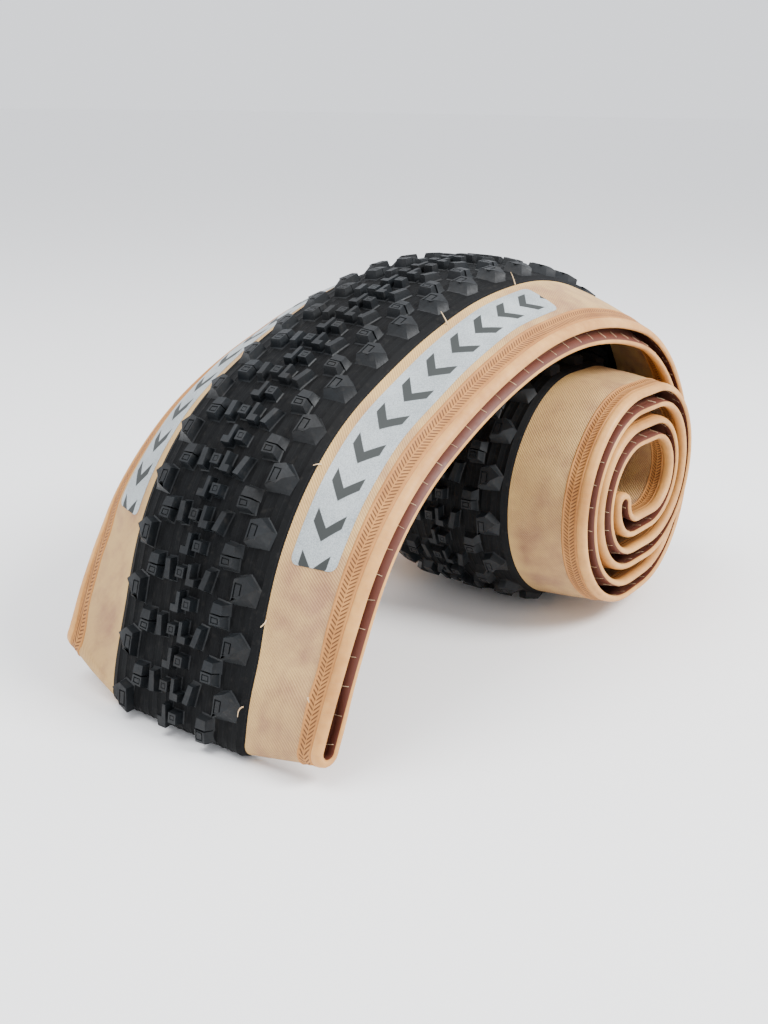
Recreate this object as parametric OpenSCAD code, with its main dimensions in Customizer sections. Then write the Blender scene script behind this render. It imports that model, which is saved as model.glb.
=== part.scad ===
// Foldable mountain bike tyre. The hoop is pressed flat into a doubled band, the band is rolled
// up from one end, and the other end is left as a free arched flap.
// X runs along the flap, Y across the tyre, Z up. The tyre stands on its tread blocks at z = 0.

/* [Wheel] */
// Bead seat diameter of the rim that the tyre fits
rim_d = 622; // [559:1:700]

/* [Section] */
// Width of one side from the tread's edge to the tip of the bead
side_w = 39.2; // [32:0.1:46]
// Width of the tread band across both shoulders
tread_w = 72; // [60:1:80]
// Thickness of the inner coat
coat_t = 0.4; // [0.3:0.05:0.6]
// Thickness of the casing plies
casing_t = 0.8; // [0.6:0.05:1.2]
// Thickness of the tread band under the blocks
tread_t = 2.0; // [1.4:0.1:2.8]
// Thickness of the tan sidewall skin
skin_t = 0.8; // [0.5:0.05:1.1]
// Thickness of the chafer strip
chafer_t = 1.0; // [0.6:0.05:1.1]
// Width of the chafer strip
chafer_w = 7.2; // [4:0.2:10]
// Wall of the bead lip around its core
lip_wall = 1.3; // [0.9:0.1:1.8]
// Width of the aramid bead core
core_w = 1.6; // [1.2:0.1:2.2]
// Depth of the slot in the bead lip that takes the casing's edge
lip_grip = 1.6; // [1:0.1:2.5]

/* [Fold] */
// Space between the two layers at the beads
bead_gap = 6; // [5:0.5:10]
// Space between the two layers under the tread
crown_gap = 1.0; // [1:0.25:4]
// Distance by which the inner layer's beads stand out past the outer layer's
inner_reach = 1; // [0:0.5:6]
// Height of the tread's crown above the beads on the flap
crown_flap = 23; // [18:1:32]
// Height of the tread's crown above the beads in the roll
crown_roll = 8.5; // [8:0.5:16]
// Share of the crown's height that is lost at the shoulders
crown_drop = 0.16; // [0.1:0.02:0.24]
// Half width of the level strip in the middle of the crown
crown_level = 11; // [11:0.5:14]
// Length over which the crown flattens before the free fold
fold_ease = 120; // [90:5:150]
// Distance by which the near bead is drawn back from the free fold
near_pull = 7; // [0:1:12]
// Distance by which the far bead is drawn back from the free fold
far_pull = 15; // [0:1:18]
// Width that each side loses where it is creased by the free fold
fold_narrow = 3.5; // [0:0.5:5]
// Distance by which the roll has slid out sideways
slip = 12; // [0:1:22]

/* [Roll] */
// Radius of the roll's first quarter turn
core_r = 14; // [14:0.5:20]
// Half turns in the roll after the first quarter
half_turns = 4; // [4:4]
// Clearance between one turn's blocks and the next turn's blocks
turn_gap = 0.1; // [0.1:0.1:1.5]
// Flat stretch at the top and at the bottom of each turn
turn_flat = 15.8; // [12:0.1:20]

/* [Tread] */
// Height of the tread blocks
block_h = 4.0; // [3:0.1:4.2]
// Rows of blocks on each of the two layers
row_count = 52; // [44:1:54]
// Length of a shoulder block along the tread
shoulder_l = 14; // [11:0.5:15]
// Width of a shoulder block
shoulder_w = 12; // [10:0.5:13]
// Length of an intermediate block
inter_l = 11; // [9:0.5:13]
// Width of an intermediate block
inter_w = 8; // [7:0.5:9]
// Length of a slim block
slim_l = 10; // [8:0.5:12]
// Width of a slim block
slim_w = 5.5; // [4:0.5:6]
// Side of a centre cube
cube_w = 5; // [4:0.5:6]
// Length of a centre bracket block
bracket_l = 9; // [8:0.5:10]

/* [Sidewall label] */
// Length of the silver patch along the sidewall
label_l = 168; // [120:2:220]
// Width of the silver patch
label_w = 19; // [12:1:20]
// Thickness of the silver patch
label_t = 0.15; // [0.1:0.05:0.3]
// Distance of the patch from the free fold
label_from_fold = 66; // [50:2:110]

/* [Hidden] */
near = -1;
far = 1;
sides = [near, far];
outer = 1;
inner = -1;
turn_step = 30;
longest_run = 30;
fold_steps = 5;
sink = 0.2;
lip_under = 0.8;
row_clear = 7;
core_clear = 75;
edge_clear = 1.5;
block_clear = 0.5;
shoulder_tip = shoulder_l / 4;
inter_tip = inter_l / 6;
bracket_arm = bracket_l * 0.4;
tread_half = tread_w / 2;
v_edge = tread_half + side_w;
v_slot = v_edge - lip_wall - core_w;
v_lip = v_slot - lip_grip;
v_chafer = v_lip - chafer_w;
ply_t = coat_t + casing_t;
base_t = ply_t + tread_t;
top_t = base_t + block_h;
band_len = PI * rim_d / 2;
turn_pitch = 2 * top_t + crown_gap + turn_gap;
shoulder_v = tread_half - edge_clear - shoulder_w / 2;
inter_v = shoulder_v - shoulder_w / 2 - inter_w / 2;
centre_v = block_clear + cube_w / 2;
slim_v = (inter_v - inter_w / 2 + cube_w + block_clear) / 2;

// Route of the doubled band's middle line, from the roll's core outward: [length, turn in degrees]
function arc_len(r, turn) = PI * r * turn / 180;
function turn_r(k) = core_r + k * turn_pitch / 2;
roll_route = concat(
    [[arc_len(core_r, 90), 90], [turn_flat, 0]],
    [for (k = [1:half_turns]) each [[arc_len(turn_r(k), 180), 180], [turn_flat, 0]]],
    [[arc_len(turn_r(half_turns + 1), 90), 90]]);
flap_shape = [[79, 74], [91, 31], [60, 13.5], [67, 31], [56, 8.2]];
function total(list, n) = n == 0 ? 0 : list[n - 1][0] + total(list, n - 1);
roll_len = total(roll_route, len(roll_route));
flap_scale = (band_len - roll_len) / total(flap_shape, len(flap_shape));
route = concat(roll_route, [for (part = flap_shape) [part[0] * flap_scale, part[1]]]);
starts_s = [for (i = [0:len(route)]) total(route, i)];

// A pose is [x, z, heading]
function along(p, run, turn) = turn == 0
    ? [p[0] + run * cos(p[2]), p[1] + run * sin(p[2]), p[2]]
    : let (r = run * 180 / (PI * turn), h = p[2] + turn)
      [p[0] + r * (sin(h) - sin(p[2])), p[1] - r * (cos(h) - cos(p[2])), h];
function chain(k, p) = k == len(route)
    ? [p]
    : concat([p], chain(k + 1, along(p, route[k][0], route[k][1])));
starts = chain(0, [0, 0, -90]);

// The bottom flat of the outermost turn, where the tyre stands
stand_part = 2 + 2 * half_turns - 1;
stand_s = starts_s[stand_part] + turn_flat / 2;
frame_x = 65.835;
// Distances over which the crown, the gap and the sideways slide change along the band
crown_from = 12;
crown_ease = 110;
flap_lead = 20;
flap_ease = 150;
core_ease = 60;
gap_ease = 40;
slip_lead = 120;
slip_ease = 190;
pull_ease = 130;
frame_y = 7.262;
origin = [frame_x - starts[stand_part][0],
          crown_roll + crown_gap / 2 + top_t - starts[stand_part][1]];

function part_at(s, k) = k >= len(route) - 1 || s < starts_s[k + 1] ? k : part_at(s, k + 1);
function pose_at(s) = let (
    k = part_at(s, 0),
    f = (s - starts_s[k]) / route[k][0],
    p = along(starts[k], route[k][0] * f, route[k][1] * f))
    [p[0] + origin[0], p[1] + origin[1], p[2]];
function ease(t) = let (u = min(1, max(0, t))) u * u * (3 - 2 * u);
function rise(t) = sin(90 * min(1, max(0, t)));
function crown_at(s) = rise((band_len - s) / fold_ease)
    * (crown_roll * ease((s - crown_from) / crown_ease)
       + (crown_flap - crown_roll) * ease((s - roll_len + flap_lead) / flap_ease));
function gap_at(s) = bead_gap
    - (bead_gap - crown_gap) * ease(s / core_ease) * ease((band_len - s) / gap_ease);
function slip_at(s) = -slip * (1 - ease((s - roll_len + slip_lead) / slip_ease));
function fold_share(s) = ease(1 - (band_len - s) / pull_ease);

// A ring is [base x, base z, crown normal, thickness normal, crown height, crown gap, side shift,
// reach of the beads, pull of the beads along the band]
function out_dir(h) = [sin(h), -cos(h)];
function run_dir(h) = [cos(h), sin(h)];
function ring(s, flip, swing) = let (
    p = pose_at(s),
    n = out_dir(p[2]),
    lean = flip * cos(swing))
    [p[0], p[1], n, lean * n + sin(swing) * run_dir(p[2]), crown_at(s), gap_at(s),
     slip_at(s) + frame_y, inner_reach * (1 - lean) / 2 - fold_narrow * fold_share(s),
     fold_share(s) * run_dir(p[2])];

// Distance along the route of every ring, closer together where the band bends more
stops = concat([for (k = [0:len(route) - 1])
    let (n = max(1, ceil(max(route[k][1] / turn_step, route[k][0] / longest_run))))
    each [for (i = [0:n - 1]) starts_s[k] + route[k][0] * i / n]], [band_len]);
swing_step = 180 / fold_steps;
rings = concat(
    [for (s = stops) ring(s, 1, 0)],
    [for (i = [1:fold_steps - 1]) ring(band_len, 1, i * swing_step)],
    [for (i = [len(stops) - 1:-1:0]) ring(stops[i], -1, 0)],
    [for (i = [1:fold_steps - 1]) ring(0, -1, -i * swing_step)]);

// Cross-section: v runs across the tyre from bead to bead, off is the height above the inside face
function side_t(v) = max(0, (abs(v) - tread_half) / side_w);
function crown_t(v) = max(0, (abs(v) - crown_level) / (tread_half - crown_level));
function shape_c(v) = let (t = side_t(v))
    t > 0 ? (1 - crown_drop) * (1 - t) : 1 - crown_drop * crown_t(v);
function place_y(r, v) = let (t = side_t(v), fall = (1 - crown_drop) * r[4])
    t > 0 ? sign(v) * (tread_half + t * (sqrt(side_w * side_w - fall * fall) + r[7])) : v;
function lift(r, v, off) = off + (r[5] + (bead_gap - r[5]) * min(1, side_t(v))) / 2;
function pull(v) = (v > 0 ? far_pull : near_pull) * side_t(v);
function spot(r, v, off) = let (
    n = r[2] * r[4] * shape_c(v) + r[3] * lift(r, v, off) - r[8] * pull(v))
    [r[0] + n[0], place_y(r, v) + r[6], r[1] + n[1]];

// Two triangles between neighbouring rings. The cut always runs the same way across the band, so
// that sheets lying on each other share their facets.
function strip_faces(section, a, b, j, k) = section[k][0] >= section[j][0]
    ? [[a + j, a + k, b + k], [a + j, b + k, b + j]]
    : [[a + j, a + k, b + j], [a + k, b + k, b + j]];

// Closed sweep of a section around the whole folded loop
module loop_sweep(section) {
    m = len(section);
    count = len(rings);
    points = [for (r = rings) each [for (q = section) spot(r, q[0], q[1])]];
    faces = [for (i = [0:count - 1], j = [0:m - 1])
        each strip_faces(section, i * m, ((i + 1) % count) * m, j, (j + 1) % m)];
    polyhedron(points, faces, convexity = 10);
}

// Open sweep of a section along the outer layer, from ring to ring, with both ends closed
module stretch_sweep(section, from_s, to_s) {
    m = len(section);
    cuts = [for (s = stops) if (s >= from_s && s <= to_s) s];
    points = [for (s = cuts) each let (r = ring(s, 1, 0)) [for (q = section) spot(r, q[0], q[1])]];
    last = (len(cuts) - 1) * m;
    faces = concat(
        [for (i = [0:len(cuts) - 2], j = [0:m - 1])
            each strip_faces(section, i * m, (i + 1) * m, j, (j + 1) % m)],
        [for (j = [1:m - 2]) [0, j + 1, j]],
        [for (j = [1:m - 2]) [last, last + j, last + j + 1]]);
    polyhedron(points, faces, convexity = 10);
}

// Section between two heights, over a list of v values in rising order
function sheet(vs, low, high) = concat(
    [for (v = vs) [v, low]],
    [for (i = [len(vs) - 1:-1:0]) [vs[i], high]]);
function one_side(vs, side) = side > 0 ? vs : [for (i = [len(vs) - 1:-1:0]) -vs[i]];
crown_vs = [-tread_half, -crown_level, crown_level, tread_half];
full_vs = concat([-v_slot], crown_vs, [v_slot]);

// Aramid bundle that holds the bead to its length
module bead_core(side) {
    color("#d8c25a")
        loop_sweep(sheet(one_side([v_slot, v_slot + core_w], side), 0, ply_t));
}

// Smooth rubber edge that wraps the core and grips the casing's edge in a slot
module bead_lip(side) {
    round_v = lip_wall * 0.5;
    section = [[v_lip, -lip_under], [v_edge - round_v, -lip_under], [v_edge, 0.5 * ply_t],
               [v_edge - round_v, ply_t + lip_wall], [v_lip, ply_t + lip_wall], [v_lip, ply_t],
               [v_slot + core_w, ply_t], [v_slot + core_w, 0], [v_lip, 0]];
    mirrored = [for (i = [len(section) - 1:-1:0]) [-section[i][0], section[i][1]]];
    color("#efbf84")
        loop_sweep(side > 0 ? section : mirrored);
}

// Strip with the herringbone print that the rim's hook bears on
module chafer(side) {
    color("#d79b5e")
        loop_sweep(sheet(one_side([v_chafer, v_lip], side), ply_t, ply_t + chafer_t));
}

// Reddish brown inside face, bead to bead
module inner_coat() {
    color("#8a5848")
        loop_sweep(sheet(full_vs, 0, coat_t));
}

// Cord plies, bead to bead
module casing() {
    color("#cfa878")
        loop_sweep(sheet(full_vs, coat_t, ply_t));
}

// Tan skin between the tread's edge and the chafer
module sidewall(side) {
    color("#e3c594")
        loop_sweep(sheet(one_side([tread_half, v_chafer], side), ply_t, ply_t + skin_t));
}

// Black base strip that carries the blocks
module tread_band() {
    color("#1c1e21")
        loop_sweep(sheet(crown_vs, ply_t, base_t));
}

// Silver patch on the outside of the flap's sidewall
module label(side) {
    mid_v = (tread_half + v_chafer) / 2;
    far_end = band_len - label_from_fold;
    low = ply_t + skin_t;
    vs = one_side([mid_v - label_w / 2, mid_v + label_w / 2], side);
    color("#dce3e3")
        stretch_sweep(sheet(vs, low, low + label_t), far_end - label_l, far_end);
}

// Puts a block on the tread; its length lies along the tread and its base is sunk a little
function stop_before(s, i) = i >= len(stops) - 2 || s < stops[i + 1] ? i : stop_before(s, i + 1);
function mix(a, b, f) = a + (b - a) * f;
function seat_spot(s, flip, v, off) = let (
    i = stop_before(s, 0),
    f = (s - stops[i]) / (stops[i + 1] - stops[i]))
    mix(spot(ring(stops[i], flip, 0), v, off), spot(ring(stops[i + 1], flip, 0), v, off), f);
function seat_heading(s, flip, v) = let (
    i = stop_before(s, 0),
    a = spot(ring(stops[i], flip, 0), v, base_t),
    b = spot(ring(stops[i + 1], flip, 0), v, base_t))
    atan2(b[2] - a[2], b[0] - a[0]);
module seat(s, flip, v) {
    heading = seat_heading(s, flip, v);
    up_dir = flip * out_dir(heading);
    a = seat_spot(s, flip, v - 1, base_t);
    b = seat_spot(s, flip, v + 1, base_t);
    rise = (b[0] - a[0]) * up_dir[0] + (b[2] - a[2]) * up_dir[1];
    translate(seat_spot(s, flip, v, base_t))
        rotate([0, (flip > 0 ? 180 : 0) - heading, 0])
            rotate([atan2(rise, b[1] - a[1]), 0, 0])
                translate([0, 0, -sink])
                    linear_extrude(block_h + sink)
                        children();
}

// Rows of blocks, spaced from the row that the tyre stands on. The inner layer's first rows are
// left out, because the blocks there are pressed into each other at the roll's core.
row_pitch = band_len / row_count;
function rows(shift, layer) = [for (j = [-row_count:row_count])
    let (s = stand_s + (j + shift + (layer > 0 ? 0 : 0.5)) * row_pitch)
    if (s > (layer > 0 ? row_clear : core_clear) && s < band_len - row_clear) s];
function stands(s, layer) = layer > 0 && abs(s - stand_s) < row_pitch / 4;
module block_row(v, shift, layer, skip_stand = false) {
    color("#24272b")
        for (s = rows(shift, layer))
            if (!(skip_stand && stands(s, layer)))
                pressed(s, layer)
                    seat(s, layer, v)
                        children();
}

// Blocks beside the standing row are pressed flat where they meet the floor
module pressed(s, layer) {
    if (layer > 0 && abs(s - stand_s) < row_pitch)
        intersection() {
            children();
            translate([-rim_d / 2, -rim_d / 2, 0])
                cube(rim_d);
        }
    else
        children();
}

module shoulder_blocks(side, layer) {
    block_row(side * shoulder_v, side > 0 ? 0.5 : 0, layer)
        point_ended(shoulder_l, shoulder_w, shoulder_tip);
}

module intermediate_blocks(side, layer) {
    block_row(side * inter_v, side > 0 ? 0 : 0.5, layer)
        point_ended(inter_l, inter_w, inter_tip);
}

// Outline with one end square and the other end drawn to a point
module point_ended(l, w, tip) {
    polygon([[-l / 2, -w / 2], [l / 2 - tip, -w / 2], [l / 2, 0], [l / 2 - tip, w / 2],
             [-l / 2, w / 2]]);
}

module slim_blocks(side, layer) {
    block_row(side * slim_v, 0, layer, true)
        square([slim_l, slim_w], center = true);
}

// Cubes and brackets take turns along each side of the centre line
module centre_cubes(layer) {
    block_row(near * centre_v, 0.5, layer)
        square(cube_w, center = true);
    block_row(far * centre_v, 0, layer, true)
        square(cube_w, center = true);
}

module centre_brackets(layer) {
    block_row(near * centre_v, 0, layer, true)
        bracket(near);
    block_row(far * centre_v, 0.5, layer)
        bracket(far);
}

// The row of level blocks at the bottom of the roll, which the tyre stands on
module standing_blocks() {
    color("#24272b") {
        seat(stand_s, 1, near * centre_v)
            bracket(near);
        seat(stand_s, 1, far * centre_v)
            square(cube_w, center = true);
        for (side = sides)
            seat(stand_s, 1, side * slim_v)
                square([slim_l, slim_w], center = true);
    }
}

module bracket(side) {
    low = -side * cube_w / 2;
    polygon([[-bracket_l / 2, low], [bracket_l / 2, low], [bracket_l / 2, -low],
             [bracket_l / 2 - bracket_arm, -low], [bracket_l / 2 - bracket_arm, 0], [-bracket_l / 2, 0]]);
}

bead_core(near);  // bead_core_near
bead_core(far);  // bead_core_far
bead_lip(near);  // bead_lip_near
bead_lip(far);  // bead_lip_far
chafer(near);  // chafer_near
chafer(far);  // chafer_far
inner_coat();
casing();
sidewall(near);  // sidewall_near
sidewall(far);  // sidewall_far
tread_band();
shoulder_blocks(near, outer);  // shoulder_blocks_near_outer
shoulder_blocks(near, inner);  // shoulder_blocks_near_inner
shoulder_blocks(far, outer);  // shoulder_blocks_far_outer
shoulder_blocks(far, inner);  // shoulder_blocks_far_inner
intermediate_blocks(near, outer);  // intermediate_blocks_near_outer
intermediate_blocks(near, inner);  // intermediate_blocks_near_inner
intermediate_blocks(far, outer);  // intermediate_blocks_far_outer
intermediate_blocks(far, inner);  // intermediate_blocks_far_inner
slim_blocks(near, outer);  // slim_blocks_near_outer
slim_blocks(near, inner);  // slim_blocks_near_inner
slim_blocks(far, outer);  // slim_blocks_far_outer
slim_blocks(far, inner);  // slim_blocks_far_inner
centre_cubes(outer);  // centre_cubes_outer
centre_cubes(inner);  // centre_cubes_inner
centre_brackets(outer);  // centre_brackets_outer
centre_brackets(inner);  // centre_brackets_inner
standing_blocks();
label(near);  // label_near
label(far);  // label_far
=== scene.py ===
# Foldable mountain bike tyre: the hoop pressed into a doubled band, rolled up from one end, with
# the other end left as an arched flap. Sizes are in millimetres until a mesh is written in metres.
import math
import bpy
import mathutils
import numpy as np
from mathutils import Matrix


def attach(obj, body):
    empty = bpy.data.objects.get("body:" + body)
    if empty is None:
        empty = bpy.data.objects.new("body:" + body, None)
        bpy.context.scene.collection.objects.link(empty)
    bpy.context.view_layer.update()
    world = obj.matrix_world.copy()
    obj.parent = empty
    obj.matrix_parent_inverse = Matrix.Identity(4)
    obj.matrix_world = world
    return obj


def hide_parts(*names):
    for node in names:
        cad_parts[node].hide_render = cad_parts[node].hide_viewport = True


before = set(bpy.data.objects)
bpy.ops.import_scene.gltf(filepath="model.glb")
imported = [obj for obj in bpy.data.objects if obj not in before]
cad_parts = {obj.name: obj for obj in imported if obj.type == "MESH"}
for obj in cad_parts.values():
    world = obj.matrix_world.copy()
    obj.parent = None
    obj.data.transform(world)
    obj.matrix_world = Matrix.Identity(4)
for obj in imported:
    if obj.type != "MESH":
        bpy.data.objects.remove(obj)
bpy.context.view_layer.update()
MM = 0.001

# ---------------------------------------------------------------- camera
CAM_PLACE = (-432.8, -315.4, 233.5)
CAM_AZIMUTH = -53.6
CAM_ELEVATION = 18.5
CAM_ROLL = 0.8
CAM_LENS = 42.5
CAM_SHIFT_X = -0.0277


def make_camera():
    az, el, roll = (math.radians(a) for a in (CAM_AZIMUTH, CAM_ELEVATION, CAM_ROLL))
    back = np.array([math.sin(az) * math.cos(el), -math.cos(az) * math.cos(el), math.sin(el)])
    right = np.array([math.cos(az), math.sin(az), 0.0])
    up = np.cross(back, right)
    side = math.cos(roll) * right + math.sin(roll) * up
    top = math.cos(roll) * up - math.sin(roll) * right
    data = bpy.data.cameras.new("camera")
    data.sensor_width = 36.0
    data.lens = CAM_LENS
    data.shift_x = CAM_SHIFT_X
    data.clip_start = 0.01
    cam = bpy.data.objects.new("camera", data)
    place = np.eye(4)
    place[:3, 0] = side
    place[:3, 1] = top
    place[:3, 2] = back
    place[:3, 3] = np.array(CAM_PLACE) * MM
    cam.matrix_world = mathutils.Matrix(place.tolist())
    bpy.context.scene.collection.objects.link(cam)
    bpy.context.scene.camera = cam


make_camera()

# ---------------------------------------------------------------- sizes, as in the CAD model
RIM_D = 622.0
SIDE_W = 39.2
TREAD_HALF = 36.0
COAT_T = 0.4
PLY_T = 1.2
TREAD_T = 2.0
BASE_T = PLY_T + TREAD_T
SKIN_T = 0.8
CHAFER_T = 1.0
CHAFER_W = 7.2
LIP_WALL = 1.3
CORE_W = 1.6
LIP_GRIP = 1.6
BLOCK_H = 4.0
TOP_T = BASE_T + BLOCK_H
BEAD_GAP = 6.0
CROWN_GAP = 1.0
INNER_REACH = 1.0
CROWN_FLAP = 23.0
CROWN_ROLL = 8.5
CROWN_DROP = 0.16
FOLD_EASE = 120.0
SLIP = 12.0
CORE_R = 14.0
HALF_TURNS = 4
TURN_GAP = 0.1
TURN_FLAT = 15.8
FRAME_X = 65.835
FRAME_Y = 7.262
NEAR_PULL = 7.0
FAR_PULL = 15.0
FOLD_NARROW = 3.5
PULL_EASE = 130.0
V_EDGE = TREAD_HALF + SIDE_W
V_SLOT = V_EDGE - LIP_WALL - CORE_W
V_LIP = V_SLOT - LIP_GRIP
V_CHAFER = V_LIP - CHAFER_W
UNDER_LIP = V_EDGE + 2.0
BAND_LEN = math.pi * RIM_D / 2
TURN_PITCH = 2 * TOP_T + CROWN_GAP + TURN_GAP
FLAP_SHAPE = [(79, 74), (91, 31), (60, 13.5), (67, 31), (56, 8.2)]
FOLD_RUN = 22.0
ROW_TOTAL = 104
CROWN_POWER = 2.4
SIDE_BULGE = 0.09
CROWN_START = 12.0
CROWN_EASE = 110.0
FLAP_RISE_EARLY = 20.0
FLAP_RISE_EASE = 150.0
CORE_GAP_EASE = 60.0
FOLD_GAP_EASE = 40.0
SLIP_EARLY = 120.0
SLIP_EASE = 190.0
MOULD_LINE_STEP = 4.8


# ---------------------------------------------------------------- the folded band
def arc_len(r, turn):
    return math.pi * r * turn / 180


def turn_r(k):
    return CORE_R + k * TURN_PITCH / 2


def build_route():
    """Runs of the doubled band's middle line from the roll's core outward, and where each starts."""
    runs = [(arc_len(CORE_R, 90), 90), (TURN_FLAT, 0)]
    for k in range(1, HALF_TURNS + 1):
        runs += [(arc_len(turn_r(k), 180), 180), (TURN_FLAT, 0)]
    runs.append((arc_len(turn_r(HALF_TURNS + 1), 90), 90))
    roll_len = sum(r[0] for r in runs)
    scale = (BAND_LEN - roll_len) / sum(f[0] for f in FLAP_SHAPE)
    runs += [(f[0] * scale, f[1]) for f in FLAP_SHAPE]
    starts = [(0.0, 0.0, -90.0)]
    for run, turn in runs:
        x, z, h = starts[-1]
        a, b = math.radians(h), math.radians(h + turn)
        if turn:
            r = run / (b - a)
            dx, dz = math.sin(b) - math.sin(a), math.cos(b) - math.cos(a)
            starts.append((x + r * dx, z - r * dz, h + turn))
        else:
            starts.append((x + run * math.cos(a), z + run * math.sin(a), h))
    stand = 2 * HALF_TURNS + 1
    shift_x = FRAME_X - starts[stand][0]
    shift_z = CROWN_ROLL + CROWN_GAP / 2 + TOP_T - starts[stand][1]
    places = np.array([(x + shift_x, z + shift_z, math.radians(h)) for x, z, h in starts])
    return np.array(runs), places, roll_len, stand


RUNS, PLACES, ROLL_LEN, STAND_PART = build_route()
RUN_STARTS = np.concatenate([[0.0], np.cumsum(RUNS[:, 0])])
STAND_S = RUN_STARTS[STAND_PART] + TURN_FLAT / 2


def pose_at(s):
    """Place and heading of the middle line at a distance from the core."""
    k = np.clip(np.searchsorted(RUN_STARTS, s, side="right") - 1, 0, len(RUNS) - 1)
    share = (s - RUN_STARTS[k]) / RUNS[k, 0]
    run = RUNS[k, 0] * share
    turn = np.radians(RUNS[k, 1]) * share
    h0 = PLACES[k, 2]
    bent = np.abs(turn) > 1e-9
    r = run / np.where(bent, turn, 1.0)
    x = PLACES[k, 0] + np.where(bent, r * (np.sin(h0 + turn) - np.sin(h0)), run * np.cos(h0))
    z = PLACES[k, 1] + np.where(bent, -r * (np.cos(h0 + turn) - np.cos(h0)), run * np.sin(h0))
    return x, z, h0 + turn


def ease(t):
    u = np.clip(t, 0.0, 1.0)
    return u * u * (3 - 2 * u)


def unfold(q):
    """Loop coordinate to (distance along the route, layer, fold swing)."""
    q = np.mod(q, 2 * (BAND_LEN + FOLD_RUN))
    on_fold = (q > BAND_LEN) & (q < BAND_LEN + FOLD_RUN)
    on_inner = (q >= BAND_LEN + FOLD_RUN) & (q <= 2 * BAND_LEN + FOLD_RUN)
    at_core = q > 2 * BAND_LEN + FOLD_RUN
    s = np.where(on_inner, 2 * BAND_LEN + FOLD_RUN - q, np.minimum(q, BAND_LEN))
    s = np.where(at_core, 0.0, s)
    swing = np.where(on_fold, (q - BAND_LEN) / FOLD_RUN * math.pi, 0.0)
    swing = np.where(on_inner, math.pi, swing)
    swing = np.where(at_core, (1 + (q - 2 * BAND_LEN - FOLD_RUN) / FOLD_RUN) * math.pi, swing)
    return s, swing


def crown_at(s):
    rise = np.sin(np.clip((BAND_LEN - s) / FOLD_EASE, 0, 1) * math.pi / 2)
    grow = (CROWN_FLAP - CROWN_ROLL) * ease((s - ROLL_LEN + FLAP_RISE_EARLY) / FLAP_RISE_EASE)
    return rise * (CROWN_ROLL * ease((s - CROWN_START) / CROWN_EASE) + grow)


def sag(q, side):
    """Soft dents that run along a sidewall, stronger where the flap is creased by its fold."""
    soft = np.sin(q / 11.0 + side) + 0.7 * np.sin(q / 6.3 + 2.1 * side) + 0.5 * np.sin(q / 17.0)
    near_fold = np.exp(-((q - BAND_LEN - FOLD_RUN / 2) / 70.0) ** 2)
    return 0.28 * soft + near_fold * (0.9 * np.sin(q / 7.5 + 1.3 * side) + 0.5 * np.sin(q / 4.1))


def inner_face(q, v):
    """The tyre's inside face: q runs round the folded loop, v across it from bead to bead."""
    s, swing = unfold(q)
    x, z, h = pose_at(s)
    crown = crown_at(s)
    closed = (BEAD_GAP - CROWN_GAP) * ease(s / CORE_GAP_EASE) * ease((BAND_LEN - s) / FOLD_GAP_EASE)
    gap_mid = BEAD_GAP - closed
    slip = -SLIP * (1 - ease((s - ROLL_LEN + SLIP_EARLY) / SLIP_EASE)) + FRAME_Y
    fold_share = ease(1 - (BAND_LEN - s) / PULL_EASE)
    t = np.clip((np.abs(v) - TREAD_HALF) / SIDE_W, 0, 1)
    e = np.clip(np.abs(v) / TREAD_HALF, 0, 1)
    lean = np.cos(swing)
    bulge = np.sin(t * math.pi)
    shape = np.where(t > 0, (1 - CROWN_DROP) * (1 - t) + SIDE_BULGE * bulge,
                     1 - CROWN_DROP * e ** CROWN_POWER)
    fall = (1 - CROWN_DROP) * crown
    reach = np.sqrt(SIDE_W ** 2 - fall ** 2) + INNER_REACH * (1 - lean) / 2 - FOLD_NARROW * fold_share
    y = np.where(t > 0, np.sign(v) * (TREAD_HALF + t * reach), v) + slip
    dents = bulge * sag(q, np.sign(v)) * np.sign(lean + 1e-6)
    half_gap = (gap_mid + (BEAD_GAP - gap_mid) * t) / 2
    out = crown * shape
    pull = np.where(v > 0, FAR_PULL, NEAR_PULL) * t * fold_share
    n = np.stack([np.sin(h), -np.cos(h)])
    run = np.stack([np.cos(h), np.sin(h)])
    px = x + n[0] * (out + lean * half_gap + dents) + run[0] * (np.sin(swing) * half_gap - pull)
    pz = z + n[1] * (out + lean * half_gap + dents) + run[1] * (np.sin(swing) * half_gap - pull)
    return np.stack(np.broadcast_arrays(px, y, pz), axis=-1)


def on_band(q, v, off):
    """A point at height off above the inside face, measured square to the face."""
    q, v, off = np.broadcast_arrays(*(np.asarray(a, float) for a in (q, v, off)))
    along = inner_face(q + 0.6, v) - inner_face(q - 0.6, v)
    across = inner_face(q, v + 0.4) - inner_face(q, v - 0.4)
    square = np.cross(along, across)
    size = np.linalg.norm(square, axis=-1, keepdims=True)
    return inner_face(q, v) - square / np.maximum(size, 1e-9) * off[..., None]


def loop_stations(step, fold_count):
    straight = max(8, int(BAND_LEN / step))
    out = np.linspace(0, BAND_LEN, straight, endpoint=False)
    fold = BAND_LEN + np.linspace(0, FOLD_RUN, fold_count, endpoint=False)
    half = np.concatenate([out, fold])
    return np.concatenate([half, half + BAND_LEN + FOLD_RUN])


def true_lengths():
    """Length along the tread's outer face for loop coordinates, closed at the start."""
    q = np.concatenate([loop_stations(1.5, 24), [2 * (BAND_LEN + FOLD_RUN)]])
    p = on_band(q, 0.0, BASE_T)
    return q, np.concatenate([[0.0], np.cumsum(np.linalg.norm(np.diff(p, axis=0), axis=1))])


LEN_Q, LEN_A = true_lengths()
LOOP_LEN = LEN_A[-1]
ROW_PITCH = LOOP_LEN / ROW_TOTAL
STAND_A = float(np.interp(STAND_S, LEN_Q, LEN_A))


def q_of(a):
    return np.interp(np.mod(a, LOOP_LEN), LEN_A, LEN_Q)


def a_of(q):
    return np.interp(q, LEN_Q, LEN_A)


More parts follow.
